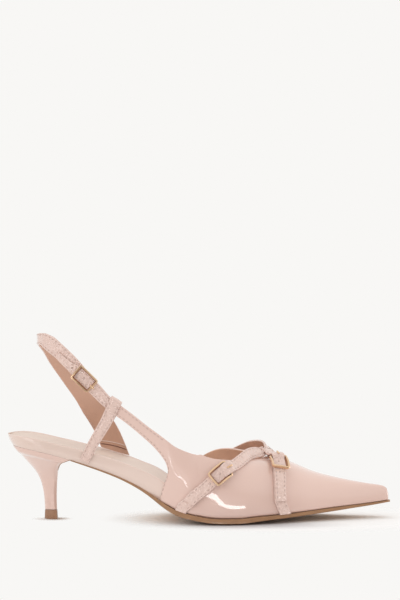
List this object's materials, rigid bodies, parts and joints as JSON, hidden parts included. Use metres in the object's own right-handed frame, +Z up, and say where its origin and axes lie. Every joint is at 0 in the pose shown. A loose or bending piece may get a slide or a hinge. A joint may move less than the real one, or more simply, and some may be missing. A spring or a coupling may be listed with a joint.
{
  "type": "slingback pump",
  "caption": "Right slingback pump with a pointed closed toe, kitten heel, open heel and sides, keeper loop, back strap with buckle and crossed buckled vamp straps.",
  "frame": {"origin": "centre of the heel top piece's resting face, on the floor", "axes": "+X towards the toe, +Y towards the inner side of the foot, +Z up"},
  "size_m": [0.2579, 0.0852, 0.1262],
  "materials": {
    "upper_patent": "nude patent",
    "strap_patent": "nude patent, stitched",
    "rim_cover": "glossy nude cover",
    "sole_leather": "tan, smooth",
    "heel_cover": "nude patent",
    "heel_top": "brown, matt",
    "buckle_metal": "polished pale gold"
  },
  "bodies": {
    "root": {"upper": "upper_patent", "sling_strap": "strap_patent", "keeper_strap": "strap_patent", "vamp_strap_back": "strap_patent", "vamp_strap_back_base": "strap_patent", "vamp_strap_front": "strap_patent", "vamp_strap_front_base": "strap_patent", "insole": "rim_cover", "outsole": "sole_leather", "heel": "heel_cover", "heel_top_piece": "heel_top", "sling_buckle": "buckle_metal", "sling_buckle_prong": "buckle_metal", "vamp_strap_back_buckle": "buckle_metal", "vamp_strap_back_prong": "buckle_metal", "vamp_strap_front_buckle": "buckle_metal", "vamp_strap_front_prong": "buckle_metal"}
  },
  "joints": []
}
